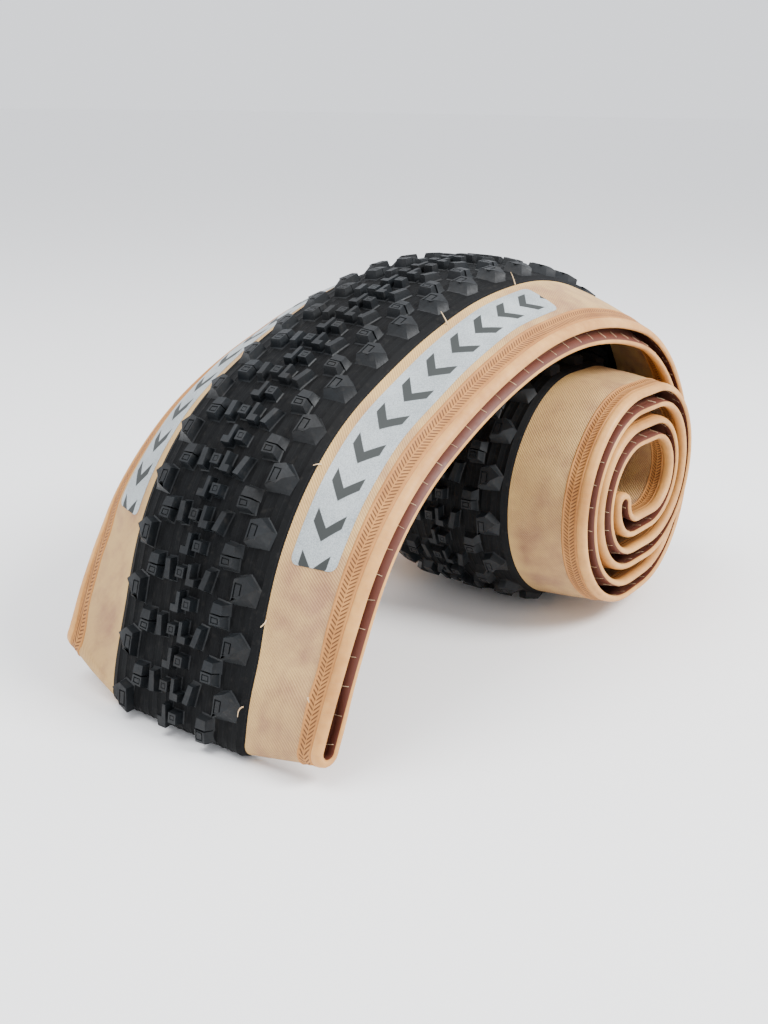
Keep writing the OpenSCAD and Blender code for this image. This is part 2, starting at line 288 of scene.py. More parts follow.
# ---------------------------------------------------------------- meshes
def signed_volume(points, faces):
    total = 0.0
    for f in faces:
        a = points[f[0]]
        for i in range(1, len(f) - 1):
            total += float(np.dot(a, np.cross(points[f[i]], points[f[i + 1]])))
    return total


def make_piece(name, points, faces, uvs, finish, smooth_angle=40.0):
    """A mesh object at the origin. points are in millimetres, uvs is one (u, v) per face corner."""
    if signed_volume(points, faces) < 0:
        faces = [f[::-1] for f in faces]
        uvs = [u[::-1] for u in uvs]
    mesh = bpy.data.meshes.new(name)
    mesh.from_pydata((points * MM).tolist(), [], faces)
    layer = mesh.uv_layers.new(name="band")
    layer.data.foreach_set("uv", np.array([c for u in uvs for c in u], dtype=float).ravel())
    mesh.materials.append(finish)
    mesh.polygons.foreach_set("use_smooth", [True] * len(faces))
    mesh.set_sharp_from_angle(angle=math.radians(smooth_angle))
    mesh.update()
    piece = bpy.data.objects.new(name, mesh)
    bpy.context.scene.collection.objects.link(piece)
    return piece


# one millimetre of the band, in units of the pieces' own UV maps
UV_MM = 0.01


def loop_sweep(name, section, finish, step=3.0, fold_count=16, smooth_angle=40.0):
    """Sweep of a closed section of (v, off) points right round the folded loop.

    A third value, where there is one, is the place across the band that the finish sees.
    """
    q = loop_stations(step, fold_count)
    section = np.array(section, float)
    count, m = len(q), len(section)
    printed_at = section[:, 2] if section.shape[1] > 2 else section[:, 0]
    points = on_band(q[:, None], section[None, :, 0], section[None, :, 1]).reshape(-1, 3)
    lengths = np.concatenate([a_of(q), [LOOP_LEN]]) * UV_MM
    across = np.concatenate([printed_at, printed_at[:1]]) * UV_MM
    faces = []
    uvs = []
    for i in range(count):
        a, b = i * m, ((i + 1) % count) * m
        for j in range(m):
            k = (j + 1) % m
            faces.append((a + j, a + k, b + k, b + j))
            uvs.append(((lengths[i], across[j]), (lengths[i], across[j + 1]),
                        (lengths[i + 1], across[j + 1]), (lengths[i + 1], across[j])))
    return make_piece(name, points, faces, uvs, finish, smooth_angle)


def patch_sweep(name, q, low_v, high_v, columns, low, high, finish):
    """A thin closed patch on the band, between two v limits that may change along it."""
    share = np.linspace(0, 1, columns)
    v = low_v[:, None] + (high_v - low_v)[:, None] * share[None, :]
    rows = len(q)
    top = on_band(q[:, None], v, high).reshape(-1, 3)
    bottom = on_band(q[:, None], v, low).reshape(-1, 3)
    points = np.concatenate([top, bottom])
    half = rows * columns
    u = np.repeat(a_of(q), columns) * UV_MM
    w = v.ravel() * UV_MM
    faces = []
    for i in range(rows - 1):
        for j in range(columns - 1):
            a = i * columns + j
            faces.append((a, a + 1, a + columns + 1, a + columns))
            faces.append((half + a, half + a + columns, half + a + columns + 1, half + a + 1))
    edge = [i * columns for i in range(rows)]
    edge += [(rows - 1) * columns + j for j in range(1, columns)]
    edge += [i * columns + columns - 1 for i in range(rows - 2, -1, -1)]
    edge += list(range(columns - 2, 0, -1))
    for a, b in zip(edge, edge[1:] + edge[:1]):
        faces.append((a, b, half + b, half + a))
    uvs = [tuple((u[c % half], w[c % half]) for c in f) for f in faces]
    return make_piece(name, points, faces, uvs, finish, 60.0)


# ---------------------------------------------------------------- node helpers
def node(tree, kind, **settings):
    n = tree.nodes.new(kind)
    for key, value in settings.items():
        setattr(n, key, value)
    return n


def feed(tree, source, target):
    tree.links.new(source, target)


def put(tree, value, socket):
    """Links the socket to another node's output, or sets it to a constant."""
    if hasattr(value, "is_output"):
        feed(tree, value, socket)
    else:
        socket.default_value = value


def math_node(tree, op, *values):
    n = node(tree, "ShaderNodeMath", operation=op)
    for socket, value in zip(n.inputs, values):
        put(tree, value, socket)
    return n.outputs[0]


def ramp(tree, value, low, high):
    """A mask that goes from 0 where the value is low to 1 where it is high."""
    n = node(tree, "ShaderNodeMapRange")
    put(tree, value, n.inputs["Value"])
    put(tree, low, n.inputs["From Min"])
    put(tree, high, n.inputs["From Max"])
    return n.outputs[0]


# a Mix node's first, second and result sockets, which depend on what it mixes
MIX_SOCKETS = {"FLOAT": (2, 3, 0), "RGBA": (6, 7, 2)}


def mix(tree, kind, share, a, b):
    n = node(tree, "ShaderNodeMix", data_type=kind)
    first, second, result = MIX_SOCKETS[kind]
    put(tree, share, n.inputs[0])
    put(tree, a, n.inputs[first])
    put(tree, b, n.inputs[second])
    return n.outputs[result]


def mix_color(tree, mask, a, b):
    return mix(tree, "RGBA", mask, a, b)


def noise(tree, place, scale, detail=None):
    n = node(tree, "ShaderNodeTexNoise")
    if detail is not None:
        n.inputs["Detail"].default_value = detail
    feed(tree, place, n.inputs["Vector"])
    put(tree, scale, n.inputs["Scale"])
    return n.outputs[0]


def own_place(tree):
    """The object's own coordinates."""
    return node(tree, "ShaderNodeTexCoord").outputs["Object"]


def new_group(name, inputs, outputs):
    """A shader group; inputs and outputs are (name, kind, default) and (name, kind)."""
    tree = bpy.data.node_groups.new(name, "ShaderNodeTree")
    for label, kind, value in inputs:
        socket = tree.interface.new_socket(name=label, in_out="INPUT", socket_type=kind)
        socket.default_value = value
    for label, kind in outputs:
        tree.interface.new_socket(name=label, in_out="OUTPUT", socket_type=kind)
    return tree, node(tree, "NodeGroupInput"), node(tree, "NodeGroupOutput")


FLOAT = "NodeSocketFloat"
COLOR = "NodeSocketColor"


def mottle_group():
    """Two cloud sizes of noise that mix a light and a dark shade."""
    tree, gin, gout = new_group(
        "mottle",
        [("Light", COLOR, (1, 1, 1, 1)), ("Dark", COLOR, (0, 0, 0, 1)), ("Cloud scale", FLOAT, 40.0),
         ("Fine scale", FLOAT, 400.0), ("Fine share", FLOAT, 0.3), ("Threshold", FLOAT, 0.5),
         ("Spread", FLOAT, 0.15)],
        [("Color", COLOR), ("Mask", FLOAT)])
    place = own_place(tree)
    cloud = noise(tree, place, gin.outputs["Cloud scale"], 4.0)
    fine = noise(tree, place, gin.outputs["Fine scale"], 3.0)
    both = mix(tree, "FLOAT", gin.outputs["Fine share"], cloud, fine)
    low, high = (math_node(tree, op, gin.outputs["Threshold"], gin.outputs["Spread"])
                 for op in ("SUBTRACT", "ADD"))
    mask = ramp(tree, both, low, high)
    color = mix_color(tree, mask, gin.outputs["Light"], gin.outputs["Dark"])
    feed(tree, color, gout.inputs["Color"])
    feed(tree, mask, gout.inputs["Mask"])
    return tree


def grain_group():
    """Fine moulded-rubber grain as a height, with a coarse and a pitted part."""
    tree, gin, gout = new_group(
        "rubber grain",
        [("Scale", FLOAT, 900.0), ("Pit scale", FLOAT, 260.0), ("Pit share", FLOAT, 0.4)],
        [("Height", FLOAT)])
    place = own_place(tree)
    fine = noise(tree, place, gin.outputs["Scale"], 5.0)
    pits = node(tree, "ShaderNodeTexVoronoi")
    feed(tree, place, pits.inputs["Vector"])
    feed(tree, gin.outputs["Pit scale"], pits.inputs["Scale"])
    height = mix(tree, "FLOAT", gin.outputs["Pit share"], fine, pits.outputs["Distance"])
    feed(tree, height, gout.inputs["Height"])
    return tree


def dust_group():
    """Pale dust specks and smudges laid over a colour."""
    tree, gin, gout = new_group(
        "dust",
        [("Base", COLOR, (0, 0, 0, 1)), ("Dust", COLOR, (0.5, 0.45, 0.38, 1)), ("Amount", FLOAT, 0.2),
         ("Speck scale", FLOAT, 350.0)],
        [("Color", COLOR), ("Mask", FLOAT)])
    place = own_place(tree)
    specks = ramp(tree, noise(tree, place, gin.outputs["Speck scale"], 6.0), 0.56, 0.74)
    smudges = ramp(tree, noise(tree, place, 22.0), 0.42, 0.72)
    both = math_node(tree, "MULTIPLY_ADD", smudges, 0.35, specks)
    mask = math_node(tree, "MULTIPLY", both, gin.outputs["Amount"])
    capped = math_node(tree, "MINIMUM", mask, 1.0)
    feed(tree, mix_color(tree, capped, gin.outputs["Base"], gin.outputs["Dust"]), gout.inputs["Color"])
    feed(tree, capped, gout.inputs["Mask"])
    return tree


MOTTLE = mottle_group()
GRAIN = grain_group()
DUST = dust_group()


def use_group(tree, group, values):
    n = node(tree, "ShaderNodeGroup", node_tree=group)
    for label, value in values.items():
        put(tree, value, n.inputs[label])
    return n


def new_finish(name, roughness, sheen=0.0, specular=0.4):
    mat = bpy.data.materials.new(name)
    mat.use_nodes = True
    tree = mat.node_tree
    tree.nodes.clear()
    surface = node(tree, "ShaderNodeBsdfPrincipled")
    surface.inputs["Roughness"].default_value = roughness
    surface.inputs["Sheen Weight"].default_value = sheen
    surface.inputs["Specular IOR Level"].default_value = specular
    out = node(tree, "ShaderNodeOutputMaterial")
    feed(tree, surface.outputs[0], out.inputs["Surface"])
    return mat, tree, surface


def band_uv(tree):
    """Millimetres along the loop and across it."""
    uv = node(tree, "ShaderNodeUVMap", uv_map="band")
    parts = node(tree, "ShaderNodeSeparateXYZ")
    feed(tree, uv.outputs[0], parts.inputs[0])
    along = math_node(tree, "MULTIPLY", parts.outputs[0], 1 / UV_MM)
    across = math_node(tree, "MULTIPLY", parts.outputs[1], 1 / UV_MM)
    return along, across


def stripes(tree, phase, period, share, soft):
    """A mask of stripes of the given share, with soft edges."""
    turn = math_node(tree, "FRACT", math_node(tree, "DIVIDE", phase, period))
    centred = math_node(tree, "ABSOLUTE", math_node(tree, "SUBTRACT", turn, 0.5))
    return ramp(tree, centred, share / 2 + soft, share / 2 - soft)


def bump(tree, surface, height, strength, distance):
    n = node(tree, "ShaderNodeBump")
    n.inputs["Strength"].default_value = strength
    n.inputs["Distance"].default_value = distance
    feed(tree, height, n.inputs["Height"])
    feed(tree, n.outputs[0], surface.inputs["Normal"])


def rough_range(tree, surface, mask, low, high):
    r = node(tree, "ShaderNodeMapRange")
    r.inputs["To Min"].default_value = low
    r.inputs["To Max"].default_value = high
    feed(tree, mask, r.inputs["Value"])
    feed(tree, r.outputs[0], surface.inputs["Roughness"])


# ---------------------------------------------------------------- finishes
def tread_finish(name, light, dark, dust_amount):
    mat, tree, surface = new_finish(name, 0.6, specular=0.28)
    cloud = use_group(tree, MOTTLE, {"Light": light, "Dark": dark, "Cloud scale": 55.0,
                                     "Fine scale": 700.0, "Fine share": 0.35})
    dusty = use_group(tree, DUST, {"Base": cloud.outputs["Color"], "Amount": dust_amount,
                                   "Dust": (0.34, 0.31, 0.27, 1)})
    feed(tree, dusty.outputs["Color"], surface.inputs["Base Color"])
    rough_range(tree, surface, cloud.outputs["Mask"], 0.42, 0.62)
    grain = use_group(tree, GRAIN, {"Scale": 1400.0, "Pit scale": 480.0, "Pit share": 0.25})
    bump(tree, surface, grain.outputs[0], 0.35, 0.0003)
    return mat


def tread_band_finish():
    mat, tree, surface = new_finish("tread base rubber", 0.72, specular=0.13)
    _, across = band_uv(tree)
    cloud = use_group(tree, MOTTLE, {"Light": (0.0042, 0.0047, 0.0054, 1),
                                     "Dark": (0.0018, 0.0020, 0.0024, 1),
                                     "Cloud scale": 45.0, "Fine scale": 600.0})
    dusty = use_group(tree, DUST, {"Base": cloud.outputs["Color"], "Amount": 0.035,
                                   "Dust": (0.20, 0.18, 0.15, 1)})
    lines = stripes(tree, across, MOULD_LINE_STEP, 0.04, 0.02)
    # The raised mould lines are coloured lighter: a painted highlight along their ridges.
    painted_light = mix_color(tree, math_node(tree, "MULTIPLY", lines, 0.35), dusty.outputs["Color"],
                    (0.016, 0.018, 0.020, 1))
    feed(tree, painted_light, surface.inputs["Base Color"])
    grain = use_group(tree, GRAIN, {"Scale": 1100.0, "Pit scale": 420.0, "Pit share": 0.3})
    height = math_node(tree, "MULTIPLY_ADD", lines, 0.8, grain.outputs[0])
    bump(tree, surface, height, 0.4, 0.0003)
    return mat


def sidewall_finish():
    mat, tree, surface = new_finish("tan sidewall skin", 0.62, sheen=0.03, specular=0.25)
    along, across = band_uv(tree)
    cloud = use_group(tree, MOTTLE, {"Light": (0.62, 0.395, 0.160, 1), "Dark": (0.40, 0.225, 0.120, 1),
                                     "Cloud scale": 34.0, "Fine scale": 130.0, "Fine share": 0.4,
                                     "Threshold": 0.54, "Spread": 0.10})
    cords = stripes(tree, math_node(tree, "MULTIPLY_ADD", across, 1.0, along), 1.45, 0.5, 0.28)
    worn = use_group(tree, MOTTLE, {"Light": (1, 1, 1, 1), "Dark": (0, 0, 0, 1), "Cloud scale": 26.0,
                                    "Fine scale": 90.0, "Threshold": 0.5, "Spread": 0.16})
    shown = math_node(tree, "MULTIPLY_ADD", worn.outputs["Mask"], 0.50, 0.20)
    corded = mix_color(tree, math_node(tree, "MULTIPLY", cords, shown), cloud.outputs["Color"],
                       (0.17, 0.070, 0.030, 1))
    by_tread = ramp(tree, math_node(tree, "ABSOLUTE", across), TREAD_HALF + 8.0, TREAD_HALF)
    creamed = mix_color(tree, math_node(tree, "MULTIPLY", by_tread, 0.6), corded,
                        (0.66, 0.43, 0.155, 1))
    dusty = use_group(tree, DUST, {"Base": creamed, "Dust": (0.20, 0.12, 0.07, 1), "Amount": 0.12,
                                   "Speck scale": 420.0})
    feed(tree, dusty.outputs["Color"], surface.inputs["Base Color"])
    grain = use_group(tree, GRAIN, {"Scale": 520.0, "Pit scale": 160.0, "Pit share": 0.3})
    height = math_node(tree, "MULTIPLY_ADD", cords, -0.9, grain.outputs[0])
    bump(tree, surface, height, 0.5, 0.0005)
    return mat


def chafer_finish():
    mat, tree, surface = new_finish("printed chafer strip", 0.6, specular=0.3)
    along, across = band_uv(tree)
    side = math_node(tree, "ABSOLUTE", across)
    middle = math_node(tree, "SUBTRACT", side, V_CHAFER + CHAFER_W / 2)
    wide = math_node(tree, "ABSOLUTE", middle)
    chevron = stripes(tree, math_node(tree, "MULTIPLY_ADD", wide, 0.95, along), 1.9, 0.42, 0.09)
    inside = ramp(tree, wide, 2.55, 2.25)
    rib = ramp(tree, wide, 0.12, 0.3)
    ink = math_node(tree, "MULTIPLY", math_node(tree, "MULTIPLY", chevron, inside), rib)
    cloud = use_group(tree, MOTTLE, {"Light": (0.50, 0.225, 0.062, 1), "Dark": (0.35, 0.140, 0.036, 1),
                                     "Cloud scale": 60.0, "Fine scale": 500.0})
    worn = math_node(tree, "MULTIPLY", ink, 0.85)
    printed = mix_color(tree, worn, cloud.outputs["Color"], (0.060, 0.019, 0.007, 1))
    feed(tree, printed, surface.inputs["Base Color"])
    grain = use_group(tree, GRAIN, {"Scale": 700.0, "Pit scale": 300.0, "Pit share": 0.3})
    height = math_node(tree, "MULTIPLY_ADD", ink, -0.8, grain.outputs[0])
    bump(tree, surface, height, 0.4, 0.0003)
    return mat


def lip_finish():
    mat, tree, surface = new_finish("bead lip rubber", 0.5, specular=0.4)
    along, across = band_uv(tree)
    cloud = use_group(tree, MOTTLE, {"Light": (0.66, 0.335, 0.098, 1), "Dark": (0.46, 0.205, 0.055, 1),
                                     "Cloud scale": 45.0, "Fine scale": 300.0})
    ticks = stripes(tree, along, 3.1, 0.09, 0.03)
    ticked = mix_color(tree, math_node(tree, "MULTIPLY", ticks, 0.25), cloud.outputs["Color"],
                       (0.45, 0.25, 0.12, 1))
    under = ramp(tree, math_node(tree, "ABSOLUTE", across), V_EDGE + 0.8, UNDER_LIP + 1.6)
    coated = mix_color(tree, under, ticked, (0.11, 0.030, 0.017, 1))
    feed(tree, coated, surface.inputs["Base Color"])
    rough_range(tree, surface, cloud.outputs["Mask"], 0.42, 0.6)
    grain = use_group(tree, GRAIN, {"Scale": 600.0, "Pit scale": 220.0, "Pit share": 0.2})
    height = math_node(tree, "MULTIPLY_ADD", ticks, 0.4, grain.outputs[0])
    bump(tree, surface, height, 0.25, 0.0003)
    return mat


def coat_finish():
    mat, tree, surface = new_finish("inner coat", 0.55, specular=0.35)
    along, across = band_uv(tree)
    cloud = use_group(tree, MOTTLE, {"Light": (0.14, 0.042, 0.024, 1), "Dark": (0.055, 0.017, 0.011, 1),
                                     "Cloud scale": 50.0, "Fine scale": 320.0})
    cords = stripes(tree, math_node(tree, "MULTIPLY_ADD", across, -1.0, along), 1.3, 0.5, 0.2)
    corded = mix_color(tree, math_node(tree, "MULTIPLY", cords, 0.25), cloud.outputs["Color"],
                       (0.19, 0.070, 0.040, 1))
    # Lighter towards the bead lip: painted light reaching into the tyre's mouth, not a change in the
    # coat's own colour.
    edge = ramp(tree, math_node(tree, "ABSOLUTE", across), V_LIP - 8.0, V_LIP)
    painted_light = mix_color(tree, math_node(tree, "MULTIPLY", edge, 0.55), corded,
                    (0.17, 0.056, 0.031, 1))
    feed(tree, painted_light, surface.inputs["Base Color"])
    grain = use_group(tree, GRAIN, {"Scale": 800.0})
    height = math_node(tree, "MULTIPLY_ADD", cords, 0.6, grain.outputs[0])
    bump(tree, surface, height, 0.4, 0.0003)
    return mat


def cord_finish(name, light, dark, period):
    mat, tree, surface = new_finish(name, 0.75, sheen=0.2, specular=0.25)
    along, across = band_uv(tree)
    warp = stripes(tree, math_node(tree, "ADD", along, across), period, 0.6, 0.15)
    weft = stripes(tree, math_node(tree, "SUBTRACT", along, across), period, 0.6, 0.15)
    weave = math_node(tree, "MULTIPLY", warp, weft)
    cloud = use_group(tree, MOTTLE, {"Light": light, "Dark": dark, "Cloud scale": 60.0,
                                     "Fine scale": 400.0})
    woven = mix_color(tree, math_node(tree, "MULTIPLY", weave, 0.5), cloud.outputs["Color"], light)
    feed(tree, woven, surface.inputs["Base Color"])
    bump(tree, surface, weave, 0.4, 0.0004)
    return mat


LABEL_V = (TREAD_HALF + V_CHAFER) / 2 + 1.5
LABEL_W = 19.0


def label_finish(name, film_light, film_dark):
    mat, tree, surface = new_finish(name, 0.38, specular=0.5)
    along, across = band_uv(tree)
    cloud = use_group(tree, MOTTLE, {"Light": film_light, "Dark": film_dark, "Cloud scale": 70.0,
                                     "Fine scale": 2200.0, "Fine share": 0.65, "Spread": 0.09})
    flake = node(tree, "ShaderNodeTexVoronoi")
    flake.inputs["Scale"].default_value = 1500.0
    feed(tree, own_place(tree), flake.inputs["Vector"])
    # Pale flecks mixed into the film's colour are painted glints off its flakes.
    painted_glint = ramp(tree, flake.outputs["Distance"], 0.18, 0.05)
    painted_glint_film = mix_color(tree, math_node(tree, "MULTIPLY", painted_glint, 0.6), cloud.outputs["Color"],
                      (0.80, 0.84, 0.85, 1))
    middle = math_node(tree, "ABSOLUTE", math_node(
        tree, "SUBTRACT", math_node(tree, "ABSOLUTE", across), LABEL_V))
    bars = stripes(tree, math_node(tree, "MULTIPLY_ADD", middle, 1.25, along), 18.0, 0.33, 0.012)
    ink = math_node(tree, "MULTIPLY", bars, ramp(tree, middle, 6.0, 5.8))
    printed = mix_color(tree, ink, painted_glint_film, (0.018, 0.022, 0.021, 1))
    feed(tree, printed, surface.inputs["Base Color"])
    rough_range(tree, surface, ink, 0.34, 0.6)
    grain = use_group(tree, GRAIN, {"Scale": 1500.0, "Pit scale": 600.0, "Pit share": 0.5})
    bump(tree, surface, grain.outputs[0], 0.25, 0.0002)
    return mat


def thread_finish():
    mat, tree, surface = new_finish("pale thread", 0.7, sheen=0.2, specular=0.3)
    cloud = use_group(tree, MOTTLE, {"Light": (0.70, 0.55, 0.34, 1), "Dark": (0.48, 0.30, 0.15, 1),
                                     "Cloud scale": 90.0, "Fine scale": 1500.0})
    feed(tree, cloud.outputs["Color"], surface.inputs["Base Color"])
    grain = use_group(tree, GRAIN, {"Scale": 3000.0})
    bump(tree, surface, grain.outputs[0], 0.3, 0.0002)
    return mat


TREAD = tread_finish("tread block rubber", (0.0062, 0.0084, 0.0106, 1), (0.0022, 0.0028, 0.0036, 1), 0.03)
TREAD_BASE = tread_band_finish()
SIDEWALL = sidewall_finish()
CHAFER = chafer_finish()
LIP = lip_finish()
COAT = coat_finish()
PLIES = cord_finish("ply cord", (0.66, 0.48, 0.30, 1), (0.48, 0.32, 0.18, 1), 1.1)
ARAMID = cord_finish("aramid bundle", (0.78, 0.64, 0.22, 1), (0.58, 0.44, 0.12, 1), 0.8)
FILM = label_finish("silver label film", (0.40, 0.44, 0.45, 1), (0.25, 0.28, 0.29, 1))
THREAD = thread_finish()


# ---------------------------------------------------------------- swept pieces
def sheet_section(vs, low, high):
    vs = list(vs)
    return [(v, low) for v in vs] + [(v, high) for v in reversed(vs)]


def both_sides(vs, side):
    return [v * side for v in vs] if side > 0 else [v * side for v in reversed(vs)]


def tread_section():
    """Base strip with fine mould lines on its face and feathered edges."""
    top = [(-TREAD_HALF - 0.9, PLY_T + SKIN_T + 0.05), (-TREAD_HALF - 0.2, PLY_T + 1.25)]
    for k in range(-7, 8):
        v = k * MOULD_LINE_STEP
        top += [(v - 0.22, BASE_T), (v, BASE_T + 0.16), (v + 0.22, BASE_T)]
    top += [(TREAD_HALF + 0.2, PLY_T + 1.25), (TREAD_HALF + 0.9, PLY_T + SKIN_T + 0.05)]
    bottom = [(v, PLY_T) for v in np.linspace(TREAD_HALF, -TREAD_HALF, 13)]
    return top + bottom


def chafer_section(side):
    """Strip with a raised line along each edge and one down its middle."""
    high = PLY_T + CHAFER_T
    mid = V_CHAFER + CHAFER_W / 2
    top = [(V_CHAFER, PLY_T + SKIN_T), (V_CHAFER + 0.25, high + 0.05), (V_CHAFER + 0.65, high + 0.25),
           (V_CHAFER + 1.05, high), (mid - 0.3, high), (mid, high + 0.12), (mid + 0.3, high),
           (V_LIP - 1.05, high), (V_LIP - 0.65, high + 0.25), (V_LIP - 0.25, high + 0.05),
           (V_LIP, high)]
    section = top + [(V_LIP, PLY_T), (V_CHAFER, PLY_T)]
    return [(v * side, off) for v, off in section]


def lip_section(side):
    """Rounded rubber edge that wraps the core; its underside is coated like the inside face."""
    upper = [(V_LIP, 2.25), (V_LIP + 0.2, 2.5), (V_LIP + 1.4, 2.62), (V_LIP + 2.8, 2.5),
             (V_EDGE - 0.9, 2.15), (V_EDGE - 0.35, 1.65), (V_EDGE - 0.05, 1.05), (V_EDGE - 0.05, 0.45),
             (V_EDGE - 0.3, -0.1), (V_EDGE - 0.7, -0.4)]
    under = [(V_EDGE - 0.95, -0.5), (V_EDGE - 2.0, -0.6), (V_LIP + 1.0, -0.5), (V_LIP, -0.15)]
    slot = [(V_LIP, 0.0), (V_SLOT + CORE_W, 0.0), (V_SLOT + CORE_W, PLY_T), (V_LIP, PLY_T)]
    section = [(v * side, off, v * side) for v, off in upper]
    section += [(v * side, off, (2 * UNDER_LIP - v) * side) for v, off in under]
    return section + [(v * side, off, v * side) for v, off in slot]


def core_section(side):
    mid_v = V_SLOT + CORE_W / 2
    ring = []
    for k in range(10):
        a = math.radians(36 * k)
        ring.append(((mid_v + 0.78 * math.cos(a)) * side, PLY_T / 2 + 0.58 * math.sin(a)))
    return ring


def finish_piece(piece, slot_name, *nodes):
    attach(piece, "root")
    if nodes:
        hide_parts(*nodes)


SIDES = (("near", -1), ("far", 1))


def make_strips():
    full = np.linspace(-V_SLOT, V_SLOT, 33)
    finish_piece(loop_sweep("inner_coat_sheet", sheet_section(full, 0.0, COAT_T), COAT), "coat_rubber",
                 "inner_coat")
    finish_piece(loop_sweep("ply_sheet", sheet_section(full, COAT_T, PLY_T), PLIES), "ply_cord",
                 "casing")
    finish_piece(loop_sweep("tread_base", tread_section(), TREAD_BASE, smooth_angle=50), "tread_rubber",
                 "tread_band")
    for label, side in SIDES:
        vs = both_sides(np.linspace(TREAD_HALF - 0.5, V_CHAFER, 12), side)
        wall = loop_sweep(f"sidewall_skin_{label}", sheet_section(vs, PLY_T, PLY_T + SKIN_T), SIDEWALL,
                          step=2.2)
        finish_piece(wall, "tan_skin", f"sidewall_{label}")
        strip = loop_sweep(f"chafer_strip_{label}", chafer_section(side), CHAFER, smooth_angle=50)
        finish_piece(strip, "chafer_cloth", f"chafer_{label}")
        lip = loop_sweep(f"lip_{label}", lip_section(side), LIP, smooth_angle=60)
        finish_piece(lip, "lip_rubber", f"bead_lip_{label}")
        core = loop_sweep(f"core_bundle_{label}", core_section(side), ARAMID, smooth_angle=60)
        finish_piece(core, "aramid", f"bead_core_{label}")


make_strips()


# ---------------------------------------------------------------- sidewall labels
LABEL_L = 168.0
LABEL_FROM_FOLD = 66.0
LABEL_CORNER = 3.0


def make_label(label, side):
    end = BAND_LEN - LABEL_FROM_FOLD
    a = np.linspace(end - LABEL_L, end, 96)
    ends = LABEL_CORNER * (1 - np.cos(np.linspace(0, math.pi / 2, 7)))
    a = np.concatenate([end - LABEL_L + ends, a[3:-3], (end - ends)[::-1]])
    from_end = np.minimum(a - a[0], a[-1] - a)
    cut = LABEL_CORNER - np.sqrt(np.maximum(0, LABEL_CORNER ** 2 - np.maximum(
        0, LABEL_CORNER - from_end) ** 2))
    half = LABEL_W / 2 - np.minimum(cut, LABEL_CORNER)
    low_v = (LABEL_V - half) * side
    high_v = (LABEL_V + half) * side
    top = PLY_T + SKIN_T
    return patch_sweep(f"label_film_{label}", a, low_v, high_v, 12, top - 0.1, top + 0.15, FILM)


for label, side in SIDES:
    finish_piece(make_label(label, side), "label_film", f"label_{label}")


# ---------------------------------------------------------------- tread blocks
def shrink(outline, d):
    """The outline moved inward by d, corner by corner."""
    n = len(outline)
    area = sum(outline[i][0] * outline[(i + 1) % n][1] - outline[(i + 1) % n][0] * outline[i][1]
               for i in range(n))
    turn = 1 if area > 0 else -1
    moved = []
    for i in range(n):
        p, c, q = (np.array(outline[(i + k) % n], float) for k in (-1, 0, 1))
        e1 = (c - p) / np.linalg.norm(c - p)
        e2 = (q - c) / np.linalg.norm(q - c)
        n1 = np.array([-e1[1], e1[0]]) * turn
        n2 = np.array([-e2[1], e2[0]]) * turn
        moved.append(tuple(c + (n1 + n2) * d / (1 + float(np.dot(n1, n2)))))
    return moved


def block_shape(name, *stacks):
    """A flat-laid block built from stacks of closed rings, each a list of (x, y, z) points."""
    points = []
    faces = []
    for rings in stacks:
        start = len(points)
        n = len(rings[0])
        for ring in rings:
            points.extend(ring)
        for k in range(len(rings) - 1):
            a, b = start + k * n, start + (k + 1) * n
            for i in range(n):
                j = (i + 1) % n
                faces.append((a + i, a + j, b + j, b + i))
        faces.append(tuple(start + i for i in reversed(range(n))))
        faces.append(tuple(start + (len(rings) - 1) * n + i for i in range(n)))
    points = np.array(points, float)
    if signed_volume(points, faces) < 0:
        faces = [f[::-1] for f in faces]
    mesh = bpy.data.meshes.new(name)
    mesh.from_pydata(points.tolist(), [], faces)
    mesh.update()
    return bpy.data.objects.new(name, mesh)


def blend(base, top, t):
    return [tuple(np.array(a) * (1 - t) + np.array(b) * t) for a, b in zip(base, top)]


def at_height(outline, z, dips=None):
    dips = dips or [0.0] * len(outline)
    return [(x, y, z - d) for (x, y), d in zip(outline, dips)]


def walls(base, top, dips=None, h=BLOCK_H):
    """Foot, flared walls and a bevelled top edge."""
    return [at_height(shrink(base, -0.35), -0.6), at_height(shrink(base, -0.35), 0.0),
            at_height(blend(base, top, 0.12), 0.45), at_height(blend(base, top, 0.9), h - 0.35, dips),
            at_height(top, h, dips)]


def engraving(panel, depth=0.55, wide=0.45, h=BLOCK_H):
    """Square groove cut in the top, round a panel that stands almost level with it."""
    return [at_height(panel, h), at_height(shrink(panel, 0.12), h - depth),
            at_height(shrink(panel, wide), h - depth), at_height(shrink(panel, wide + 0.12), h - 0.05)]


def sided(outline, side):
    return [(x, y * side) for x, y in outline]


